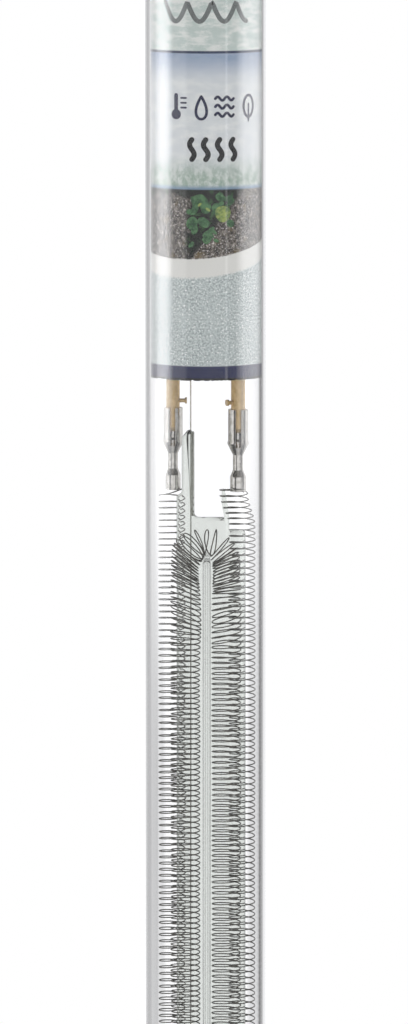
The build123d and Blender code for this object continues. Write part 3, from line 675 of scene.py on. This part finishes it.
class Decal:
    """Flat shapes in millimetres, wrapped on the label or laid on the head.

    On the label they are (arc, height) from the middle of its front's lower edge."""

    def __init__(self):
        self.points = []
        self.faces = []

    def stroke(self, path, width):
        """Ribbon along a path with rounded ends."""
        start = len(self.points)
        last = len(path) - 1
        for index, point in enumerate(path):
            before, after = path[max(index - 1, 0)], path[min(index + 1, last)]
            along = (Vector(after) - Vector(before)).normalized()
            side = Vector((-along.y, along.x)) * width / 2
            self.points += [Vector(point) + side, Vector(point) - side]
        for index in range(last):
            a = start + 2 * index
            self.faces.append((a, a + 1, a + 3, a + 2))
        for end in (path[0], path[-1]):
            self.blob(end, lambda turn: width / 2, rings=1, spokes=12)

    def blob(self, centre, reach, rings=5, spokes=28, squash=1.0, lean=0.0):
        """Filled shape whose edge is reach(turn) from its centre."""
        start = len(self.points)
        self.points.append(Vector(centre))
        for ring in range(1, rings + 1):
            for spoke in range(spokes):
                turn = 2 * math.pi * spoke / spokes
                radius = reach(turn) * ring / rings
                local = Vector((radius * math.cos(turn), radius * math.sin(turn) * squash))
                local.rotate(Matrix.Rotation(lean, 2))
                self.points.append(Vector(centre) + local)
        for spoke in range(spokes):
            after = (spoke + 1) % spokes
            self.faces.append((start, start + 1 + spoke, start + 1 + after))
            for ring in range(rings - 1):
                a = start + 1 + ring * spokes
                self.faces.append((a + spoke, a + spokes + spoke, a + spokes + after, a + after))

    def wrap(self, name, material, lift=0.03):
        """On the sleeve, lifted a hair so that the print shows."""
        radius = LABEL_R + lift * MM
        points = [label_at(p[0] * MM, LABEL_BOTTOM + p[1] * MM, radius) for p in self.points]
        dress(new_piece(name, points, self.faces), material)

    def lay(self, name, material, height):
        """Flat at a height, where the shapes are (x, y) from the axis."""
        points = [(p[0] * MM, p[1] * MM, height) for p in self.points]
        dress(new_piece(name, points, self.faces), material)


def dense(path, spacing=0.25):
    """The same path with points close enough to follow the sleeve's curve."""
    result = [Vector(path[0])]
    for before, after in zip(path, path[1:]):
        before, after = Vector(before), Vector(after)
        count = max(1, math.ceil((after - before).length / spacing))
        result += [before.lerp(after, (step + 1) / count) for step in range(count)]
    return result


def along_curve(steps, point):
    """Points of a curve, where point takes the share of the way along it."""
    return [point(step / steps) for step in range(steps + 1)]


def ellipse(centre, across, tall, start=0.0, end=360.0):
    def point(part):
        turn = math.radians(start + (end - start) * part)
        return centre[0] + across * math.cos(turn), centre[1] + tall * math.sin(turn)
    return along_curve(36, point)


def ink(name, colour):
    """Print colour with a slightly lighter mottle."""
    lighter = tuple(channel * 1.25 + 0.004 for channel in colour)
    return plain_finish(name, lighter, colour, 2.5, (0.35, 0.45), Specular_IOR_Level=PRINT_SPECULAR)


def ripple_marks():
    """Grey scalloped ripples at the head of the sleeve, in place of lettering."""
    first_row, row_pitch, rows = 66.9, 4.6, 3
    left, across, tall, arches, line = -7.9, 15.6, 3.6, 3.5, 0.85
    decal = Decal()
    for row in range(rows):
        base = first_row + row_pitch * row

        def point(part):
            return left + across * part, base + tall * (1 - abs(math.sin(arches * math.pi * part)))
        decal.stroke(along_curve(96, point), line)
    decal.wrap("print_ripples", ink("ink_grey", (0.135, 0.15, 0.15)))


def icon_row():
    """Navy line icons: thermometer, drop, ripples and a small leaf."""
    line, thin, thick = 0.5, 0.35, 0.75
    foot, top = 48.9, 53.2
    decal = Decal()

    bulb_x, bulb_r, tick_left, tick_right, tick_pitch = -5.6, 0.95, -4.6, -3.7, 0.9
    decal.stroke(dense([(bulb_x, foot + 1.3), (bulb_x, top)]), thick)
    decal.blob((bulb_x, foot + 0.75), lambda turn: bulb_r)
    for tick in range(3):
        height = top - 0.5 - tick * tick_pitch
        decal.stroke(dense([(tick_left, height), (tick_right, height)]), thin)

    drop_x, drop_mid, drop_across, drop_tall = -0.9, foot + 2.0, 1.25, 2.1

    def drop(part):
        turn = 2 * math.pi * part
        across = drop_across * math.sin(turn) * math.sin(turn / 2)
        return drop_x + across, drop_mid + drop_tall * math.cos(turn)
    decal.stroke(along_curve(36, drop), line)

    ripple_x, ripple_long, ripple_foot, ripple_pitch, swing = 1.6, 3.4, foot + 0.7, 1.5, 0.35
    for row in range(3):
        def ripple(part):
            height = ripple_foot + ripple_pitch * row + swing * math.sin(4 * math.pi * part)
            return ripple_x + ripple_long * part, height
        decal.stroke(along_curve(24, ripple), line)

    leaf_x, leaf_across, leaf_tall = 8.2, 1.1, 2.0
    decal.stroke(ellipse((leaf_x, foot + 2.2), leaf_across, leaf_tall), line)
    decal.stroke(dense([(leaf_x, foot - 0.5), (leaf_x, foot + 2.6)]), line * 0.8)
    decal.wrap("print_icons", ink("ink_navy", (0.010, 0.012, 0.055)))


def heat_marks():
    """Bold black upright S-shaped heat waves in the middle of the sleeve."""
    left, apart, foot, tall, swing, line = -2.6, 2.5, 41.3, 3.7, 0.42, 0.95
    decal = Decal()
    for index in range(4):
        def point(part):
            return left + apart * index + swing * math.sin(2 * math.pi * part), foot + tall * part
        decal.stroke(along_curve(24, point), line)
    decal.wrap("print_heat_waves", ink("ink_black", (0.006, 0.006, 0.008)))


# Yellow-green leaves: middle, size, wave of the edge, squash and lean.
BRIGHT_LEAVES = (
    ((3.0, 31.2), 1.45, 0.05, 1.05, 0.0),
    ((0.3, 32.0), 0.50, 0.0, 0.5, -0.6),
    ((-1.2, 32.9), 0.45, 0.0, 0.5, 0.8),
)


def leaf_marks():
    """Green leaves, and yellow-green ones with one large and round, over the dark planting."""
    side_range, height_range, size_range = (-2.8, 4.6), (25.0, 34.6), (0.55, 1.25)
    squash_range, lean_range = (0.45, 0.9), (-1.2, 1.2)
    rng = random.Random(5)
    leaves, bright = Decal(), Decal()
    for _ in range(26):
        centre = (rng.uniform(*side_range), rng.uniform(*height_range))
        size = rng.uniform(*size_range)
        sway = rng.uniform(0, 6.28)

        def edge(turn):
            return size * (1 + 0.16 * math.sin(2 * turn + sway))
        leaves.blob(centre, edge, squash=rng.uniform(*squash_range), lean=rng.uniform(*lean_range))
    green = leaf_finish("print_leaf_green", (0.02, 0.075, 0.03), (0.085, 0.22, 0.085))
    leaves.wrap("print_leaves", green)
    for centre, size, swell, squash, tipped in BRIGHT_LEAVES:
        def edge(turn):
            return size * (1 + swell * math.sin(3 * turn))
        bright.blob(centre, edge, squash=squash, lean=tipped)
    yellow_green = leaf_finish("print_leaf_bright", (0.10, 0.19, 0.055), (0.36, 0.43, 0.10))
    bright.wrap("print_bright_leaves", yellow_green, lift=0.05)


def leaf_finish(name, dark, light):
    """Spotted leaf green."""
    f = Finish(name, Roughness=PRINT_ROUGHNESS, Specular_IOR_Level=PRINT_SPECULAR)
    spots = f.noise(f.place(), 1.1, 4.0, 0.65)
    f.drive("Base Color", f.mix(f.step(spots, 0.35, 0.65), dark, light))
    return f.material


# ---- heating coil -------------------------------------------------------------------------
COIL_R = 2.8 * MM
WIRE_R = 0.115 * MM
END_PITCH = 1.17 * MM
MIDDLE_PITCH = 1.0 * MM
CREST_PITCH = 1.3 * MM
BUNCHED_PITCH = 0.62 * MM
RUN_A = (-6.6 * MM, 2.75 * MM)
RUN_B = (-3.8 * MM, -4.7 * MM)
RUN_C = (3.68 * MM, -4.7 * MM)
RUN_D = (6.9 * MM, 2.75 * MM)
COIL_TOP = 24.4 * MM
FIRST_TURN_Z = 23.7 * MM
COIL_FOOT = -118.0 * MM
ARCH_Z = 11.95 * MM
PULL_FROM = 17.5 * MM
PULL = Vector((-1.75 * MM, -3.3 * MM, 0.0))
CREST_REACH = 3.2 * MM
BUNCH_REACH = 11.0 * MM
TANGLE_REACH = 30.0 * MM
COIL_SLACK = 0.06 * MM
TAIL_RISE = 0.9 * MM
# Hand-made unevenness: how far the turns drift along the coil, how much their radius and tilt
# change on the plain runs, how far the coil sways, and what the upper bend adds.
DRIFT = 0.5 * MM
UNEVEN = 0.08 * MM
SWAY = 0.12 * MM
BEND_UNEVEN = 0.5 * MM
BEND_TILT = 2.2 * MM
RIGHT_LEAN = 0.45
STEPS_PER_TURN = 18
WIRE_SIDES = 6


def hairpin(start, end, height, sign):
    """Half circle between two runs, over (sign 1) or under (-1) the height."""
    count = 30
    start, end = Vector((*start, height)), Vector((*end, height))
    middle = (start + end) / 2
    reach = (end - start).length / 2
    points = []
    for index in range(1, count):
        turn = math.pi * index / count
        side = (start - middle) * math.cos(turn)
        points.append(middle + side + Vector((0, 0, sign * reach * math.sin(turn))))
    return points


def straight(start, end):
    """Points a millimetre apart from start to end."""
    start, end = Vector(start), Vector(end)
    count = max(2, round((end - start).length / MM))
    return [start.lerp(end, index / count) for index in range(count + 1)]


def coil_route():
    """Middle line of the coil: down A, up B, over the rib, down C and up D."""
    route = straight((*RUN_A, FIRST_TURN_Z), (*RUN_A, COIL_FOOT))
    route += hairpin(RUN_A, RUN_B, COIL_FOOT, -1)
    route += straight((*RUN_B, COIL_FOOT), (*RUN_B, ARCH_Z))
    route += hairpin(RUN_B, RUN_C, ARCH_Z, 1)
    route += straight((*RUN_C, ARCH_Z), (*RUN_C, COIL_FOOT))
    route += hairpin(RUN_C, RUN_D, COIL_FOOT, -1)
    route += straight((*RUN_D, COIL_FOOT), (*RUN_D, COIL_TOP + TAIL_RISE))
    return route


def frames_along(route):
    """Position, and two turning-free cross directions, at each point and its length along."""
    travelled = 0.0
    across = Vector((1, 0, 0))
    result = []
    for index, point in enumerate(route):
        before, after = route[max(index - 1, 0)], route[min(index + 1, len(route) - 1)]
        along = (after - before).normalized()
        if index:
            travelled += (point - route[index - 1]).length
        across = (across - along * across.dot(along)).normalized()
        result.append((travelled, point, across.copy(), along.cross(across)))
    return result


def pull(point):
    """Sideways shift of the upper end of run D, which is drawn over to its terminal."""
    part = min(max((point.z - PULL_FROM) / (COIL_TOP - PULL_FROM), 0.0), 1.0)
    in_run_d = point.x > (RUN_C[0] + RUN_D[0]) / 2
    part *= part * (3 - 2 * part) if in_run_d else 0.0
    return part * PULL


def pitch_at(at, length):
    """The middle runs are wound closer than the end runs; turns bunch beside the rib's crest."""
    bend_r = 4.0 * MM
    run = (COIL_TOP - COIL_FOOT) + math.pi * bend_r
    from_crest = abs(at - length / 2)
    if from_crest < CREST_REACH:
        return CREST_PITCH
    if from_crest < BUNCH_REACH:
        return BUNCHED_PITCH
    return MIDDLE_PITCH if run < at < length - run else END_PITCH


def lean(at, length):
    """Slope of the turns on each side of the crest, whose outer ends ride higher."""
    steepest, full_at, fades_at, gone_at = 0.75, 5.5 * MM, 7.0 * MM, 22.0 * MM
    past = abs(at - length / 2)
    rise = min(past / full_at, 1.0)
    fall = min(max((gone_at - past) / (gone_at - fades_at), 0.0), 1.0)
    return steepest * rise * fall


def wobble(seed, at, size):
    """Smooth hand-made unevenness along the wire, of about the size given."""
    per_metre, seed_apart = 90.0, 7.3
    return size * noise.noise(Vector((at * per_metre, seed * seed_apart, 0.0)))


def wire_path():
    """Centre line of the wound wire, more uneven towards the upper bend."""
    stations = frames_along(coil_route())
    length = stations[-1][0]
    travelled, step, cursor = 0.0, 0, 0
    path = []
    while travelled < length:
        at = min(max(travelled + wobble(1, travelled, DRIFT), 0.0), length)
        while cursor < len(stations) - 2 and stations[cursor + 1][0] < at:
            cursor += 1
        while cursor > 0 and stations[cursor][0] > at:
            cursor -= 1
        low, high = stations[cursor], stations[cursor + 1]
        part = (at - low[0]) / max(high[0] - low[0], 1e-9)
        centre = low[1].lerp(high[1], part)
        across = low[2].lerp(high[2], part).normalized()
        beside = low[3].lerp(high[3], part).normalized()
        along = across.cross(beside)
        angle = math.pi + 2 * math.pi * step / STEPS_PER_TURN
        near_arch = max(0.0, 1.0 - abs(at - length / 2) / TANGLE_REACH) ** 1.5
        radius = COIL_R - WIRE_R - COIL_SLACK + wobble(2, at, UNEVEN + BEND_UNEVEN * near_arch)
        sway = across * wobble(3, at, SWAY) + beside * wobble(4, at, SWAY)
        sway += across * wobble(7, 6 * at, BEND_UNEVEN * near_arch)
        tilt = wobble(5, 3 * at, UNEVEN + BEND_TILT * near_arch)
        tilt *= math.sin(angle + wobble(6, 3 * at, 3.0))
        ring = radius * (across * math.cos(angle) + beside * math.sin(angle))
        outward = ring.x if centre.x > 0 else -ring.x
        share = RIGHT_LEAN if centre.x > 0 else 1.0
        rise = Vector((0.0, 0.0, share * lean(at, length) * outward))
        path.append(centre + pull(centre) + sway + ring + tilt * along + rise)
        travelled += pitch_at(travelled, length) / STEPS_PER_TURN
        step += 1
    return path


def wire_mesh(name, path, radius):
    """Closed round wire along a path."""
    points = []
    across = Vector((0.3, 0.2, 1)).normalized()
    for index, point in enumerate(path):
        before, after = path[max(index - 1, 0)], path[min(index + 1, len(path) - 1)]
        along = (after - before).normalized()
        across = (across - along * across.dot(along)).normalized()
        beside = along.cross(across)
        for side in range(WIRE_SIDES):
            turn = 2 * math.pi * side / WIRE_SIDES
            points.append(point + radius * (across * math.cos(turn) + beside * math.sin(turn)))
    faces = grid_faces(len(path), WIRE_SIDES)
    faces.append(tuple(reversed(range(WIRE_SIDES))))
    faces.append(tuple(range(len(points) - WIRE_SIDES, len(points))))
    return new_piece(name, points, faces)


def lead_in(side):
    """Where a wire end leaves the crimp barrel: just inside its mouth, and at its lip."""
    low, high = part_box(f"crimp_contact_{side}")
    mouth = Vector(((low.x + high.x) / 2, (low.y + high.y) / 2, low.z))
    inside = mouth + Vector((0.2, 0.0, 1.5)) * MM
    lip = mouth + Vector((0.9, -0.3, -0.1)) * MM
    return inside, lip


def bowed(points):
    """Smooth curve through a few points, which stops just short of the last."""
    count = 8
    path = []
    padded = [points[0]] + points + [points[-1]]
    for a, b, c, d in zip(padded, padded[1:], padded[2:], padded[3:]):
        for step in range(count):
            t = step / count
            square = (2 * a - 5 * b + 4 * c - d) * t * t
            cube = (3 * b - 3 * c + d - a) * t ** 3
            path.append(0.5 * (2 * b + (c - a) * t + square + cube))
    return path


def heating_coil():
    """The whole wire: from the left contact, through the four runs, to the right contact."""
    path = wire_path()
    inside, lip = lead_in("left")
    knuckle = Vector((RUN_A[0] + 2.2 * MM, 1.2 * MM, FIRST_TURN_Z + 1.35 * MM))
    across = Vector((RUN_A[0], 0.2 * MM, FIRST_TURN_Z + 0.6 * MM))
    head = bowed([inside, lip, knuckle, across, path[0]])
    inside, lip = lead_in("right")
    tail = bowed([path[-1], lip, inside])[1:]
    piece = wire_mesh("coil_wire", head + path + tail, WIRE_R)
    light, dark = (0.17, 0.16, 0.135), (0.06, 0.055, 0.042)
    material = plain_finish("resistance_wire", light, dark, 0.8, (0.4, 0.55), Metallic=0.6)
    dress(piece, material, sharp=80.0, replaces=["heating_coil"])
    return material


# ---- former -------------------------------------------------------------------------------
def glass_former():
    """The former with its CAD edges and flat, clear faces."""
    piece = refined("glass_former", 0.0, boxy=True)
    material = clear_finish("former_glass", (0.80, 0.825, 0.79), (0.75, 0.78, 0.745))
    dress(piece, material, sharp=35.0, replaces=["glass_former"])
    return material


# ---- terminals ----------------------------------------------------------------------------
def brass_finish():
    """Turned brass with a little tarnish."""
    f = Finish("brass", Metallic=0.7)
    place = f.place()
    turning = f.noise(f.scaled(place, (0.3, 0.3, 6.0)), 1.5, 3.0, 0.6)
    tarnish = f.noise(place, 0.8, 4.0, 0.65)
    colour = f.mix(f.step(tarnish, 0.35, 0.7), (0.62, 0.43, 0.18), (0.84, 0.62, 0.33))
    f.drive("Base Color", colour)
    f.drive("Roughness", f.math("MULTIPLY_ADD", tarnish, 0.2, 0.36))
    f.bump(turning, 0.012)
    return f.material


def nickel_finish():
    """Bright plate on rolled sheet."""
    f = Finish("nickel_plate", Metallic=1.0)
    place = f.place()
    cloud = f.noise(place, 1.3, 4.0, 0.6)
    f.drive("Base Color", f.mix(f.step(cloud, 0.3, 0.7), (0.54, 0.52, 0.47), (0.76, 0.74, 0.71)))
    f.drive("Roughness", f.math("MULTIPLY_ADD", cloud, 0.14, 0.07))
    f.bump(f.noise(f.scaled(place, (1.0, 1.0, 0.15)), 3.0, 2.0, 0.5), 0.01)
    return f.material


POST_EDGE = 0.10 * MM
SHEET_EDGE = 0.05 * MM
SHEET_BEND = 14.0


def terminals(brass, nickel):
    """Posts and sheet contacts with rounded edges."""
    for side in ("left", "right"):
        post = refined(f"terminal_post_{side}", POST_EDGE)
        dress(post, brass, replaces=[f"terminal_post_{side}"])
        contact = refined(f"crimp_contact_{side}", SHEET_EDGE, 2, SHEET_BEND)
        dress(contact, nickel, sharp=25.0, replaces=[f"crimp_contact_{side}"])


# ---- head ---------------------------------------------------------------------------------
SCALE_LOW = 20
SCALE_HIGH = 34
SCALE_HALF_TURN = 135.0
# Strokes of plain rounded digits in a box 0.62 wide and 1 tall.
DIGITS = {
    "0": [ellipse((0.31, 0.5), 0.31, 0.5)],
    "2": [ellipse((0.31, 0.70), 0.30, 0.30, 165.0, -30.0) + [(0.0, 0.0), (0.62, 0.0)]],
    "3": [
        ellipse((0.30, 0.74), 0.27, 0.26, 150.0, -90.0),
        ellipse((0.30, 0.25), 0.30, 0.25, 90.0, -150.0),
    ],
    "4": [[(0.48, 0.0), (0.48, 1.0), (0.0, 0.32), (0.66, 0.32)]],
    "6": [ellipse((0.31, 0.31), 0.31, 0.31), [(0.02, 0.38), (0.12, 0.70), (0.42, 1.0)]],
    "8": [ellipse((0.31, 0.75), 0.24, 0.25), ellipse((0.31, 0.26), 0.31, 0.26)],
}


def scale_marks():
    """Degree ticks and numbers round the dial; the tops of the numbers face the dial."""
    decal = Decal()
    tall, tick_in, number_mid, digit_pitch, line = 1.45, 8.95, 10.95, 0.86, 0.2
    long_tick, short_tick, wide_line, fine_line = 0.95, 0.55, 0.22, 0.15
    for degrees_c in range(SCALE_LOW, SCALE_HIGH + 1):
        part = (degrees_c - SCALE_LOW) / (SCALE_HIGH - SCALE_LOW)
        turn = math.radians(SCALE_HALF_TURN * (1 - 2 * part))
        outward = Vector((math.sin(turn), -math.cos(turn)))
        aside = Vector((-outward.y, outward.x))
        even = degrees_c % 2 == 0
        tick_end = tick_in + (long_tick if even else short_tick)
        decal.stroke([outward * tick_in, outward * tick_end], wide_line if even else fine_line)
        if not even:
            continue
        for place, digit in enumerate(str(degrees_c)):
            shift = (place - 1) * digit_pitch + 0.12
            for path in DIGITS[digit]:
                spots = [((x + shift) * tall, (y - 0.5) * tall) for x, y in path]
                decal.stroke([outward * (number_mid - y) + aside * x for x, y in spots], line)
    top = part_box("scale_ring")[1].z + 0.02 * MM
    decal.lay("scale_marks", ink("scale_ink", (0.01, 0.012, 0.02)), top)


# Moulded parts with rounded edges: width in millimetres, and steps across the edge.
ROUNDED = {
    "head_housing": (0.30, 3),
    "collar_nut": (0.20, 3),
    "dial_knob": (0.16, 3),
    "dial_pointer": (0.10, 3),
    "cable_gland": (0.20, 3),
    "thermostat_chassis": (0.12, 3),
    "suppression_capacitor": (0.45, 4),
    "setting_nut": (0.12, 3),
    "terminal_disc": (0.15, 3),
}


def rounded_parts(finishes):
    """Rounded-edge versions of CAD nodes, each in its own finish and on its own body."""
    for node, (width, segments) in ROUNDED.items():
        piece = refined(node, width * MM, segments)
        body = body_of(frame["nodes"][node])[0]
        dress(piece, finishes[SLOTS[node]], body, 30.0, replaces=[node])


# ---- carried-over nodes -------------------------------------------------------------------
# By material slot: light and dark colour, mottle scale, roughness range, and where the surface
# has any, the height and scale of its bump.
STOCK = {
    "silicone": ((0.78, 0.80, 0.78), (0.66, 0.69, 0.67), 0.3, (0.45, 0.6), 0.03),
    "mica": ((0.62, 0.54, 0.36), (0.38, 0.31, 0.18), 0.5, (0.2, 0.45), 0.03),
    "steel": ((0.62, 0.62, 0.61), (0.40, 0.40, 0.40), 0.9, (0.25, 0.45), 0.01),
    "black_moulding": ((0.028, 0.030, 0.033), (0.017, 0.018, 0.020), 0.4, (0.38, 0.55), 0.05, 9.0),
    "chassis_moulding": ((0.74, 0.71, 0.63), (0.60, 0.57, 0.49), 0.25, (0.4, 0.6), 0.03),
    "magnet": ((0.10, 0.10, 0.11), (0.05, 0.05, 0.055), 1.2, (0.35, 0.6), 0.05, 12.0),
    "capacitor_case": ((0.05, 0.17, 0.42), (0.03, 0.10, 0.28), 0.3, (0.15, 0.3), 0.01),
    "resistor_body": ((0.68, 0.52, 0.33), (0.55, 0.39, 0.22), 0.7, (0.2, 0.35), 0.02),
    "blue_insulation": ((0.04, 0.13, 0.45), (0.02, 0.07, 0.28), 0.5, (0.3, 0.45)),
    "brown_insulation": ((0.15, 0.06, 0.03), (0.08, 0.03, 0.015), 0.5, (0.3, 0.45)),
    "white_insulation": ((0.80, 0.79, 0.75), (0.66, 0.65, 0.60), 0.5, (0.3, 0.45)),
    "seal_rubber": ((0.035, 0.035, 0.035), (0.018, 0.018, 0.018), 0.8, (0.6, 0.8), 0.04),
    "scale_plastic": ((0.82, 0.83, 0.82), (0.72, 0.74, 0.73), 0.5, (0.35, 0.5), 0.01),
    "knob_plastic": ((0.035, 0.135, 0.30), (0.02, 0.09, 0.22), 0.3, (0.3, 0.45), 0.03, 9.0),
    "pointer_plastic": ((0.88, 0.88, 0.86), (0.78, 0.78, 0.75), 0.8, (0.3, 0.4)),
    "spindle_plastic": ((0.78, 0.78, 0.72), (0.64, 0.64, 0.58), 0.5, (0.3, 0.45)),
    "spring_bronze": ((0.72, 0.46, 0.25), (0.50, 0.30, 0.15), 0.8, (0.25, 0.4)),
    "contact_silver": ((0.86, 0.85, 0.82), (0.60, 0.58, 0.54), 2.0, (0.2, 0.4)),
    "bimetal": ((0.66, 0.63, 0.56), (0.48, 0.44, 0.37), 0.8, (0.25, 0.4)),
    "nut_plastic": ((0.66, 0.10, 0.06), (0.46, 0.06, 0.04), 0.5, (0.3, 0.45)),
}
METALS = ("steel", "spring_bronze", "contact_silver", "bimetal")
# Stock whose mottle runs with its layers or its rolling.
STRETCHED = {"mica": (1, 1, 8), "spring_bronze": (1, 1, 0.2), "bimetal": (1, 1, 0.2)}


def stock_finishes():
    """Finishes of the CAD nodes that have no finish of their own elsewhere, by material slot."""
    finishes = {}
    for slot, values in STOCK.items():
        metallic = 1.0 if slot in METALS else 0.0
        stretch = STRETCHED.get(slot, EVEN)
        finishes[slot] = plain_finish(slot, *values, stretch=stretch, Metallic=metallic)
    finishes["lamp_glass"] = clear_finish("lamp_glass", (1.0, 0.62, 0.36), (0.95, 0.50, 0.25))
    return finishes


def finish_nodes(finishes):
    """Every CAD node gets the finish of its slot."""
    for name, node in frame["nodes"].items():
        node.data.materials.clear()
        node.data.materials.append(finishes[SLOTS[name]])


# ---- making -------------------------------------------------------------------------------
add_camera()
add_floor()
add_world()
set_colour_and_paths()

finishes = stock_finishes()
finishes["printed_label"] = print_finish()
finishes["brass"] = brass_finish()
finishes["nickel_plate"] = nickel_finish()
finishes["clear_glass"] = glass_tube()
label_sleeve(finishes["printed_label"])
ripple_marks()
icon_row()
heat_marks()
leaf_marks()
finishes["resistance_wire"] = heating_coil()
finishes["former_glass"] = glass_former()
terminals(finishes["brass"], finishes["nickel_plate"])
finish_nodes(finishes)
rounded_parts(finishes)
scale_marks()
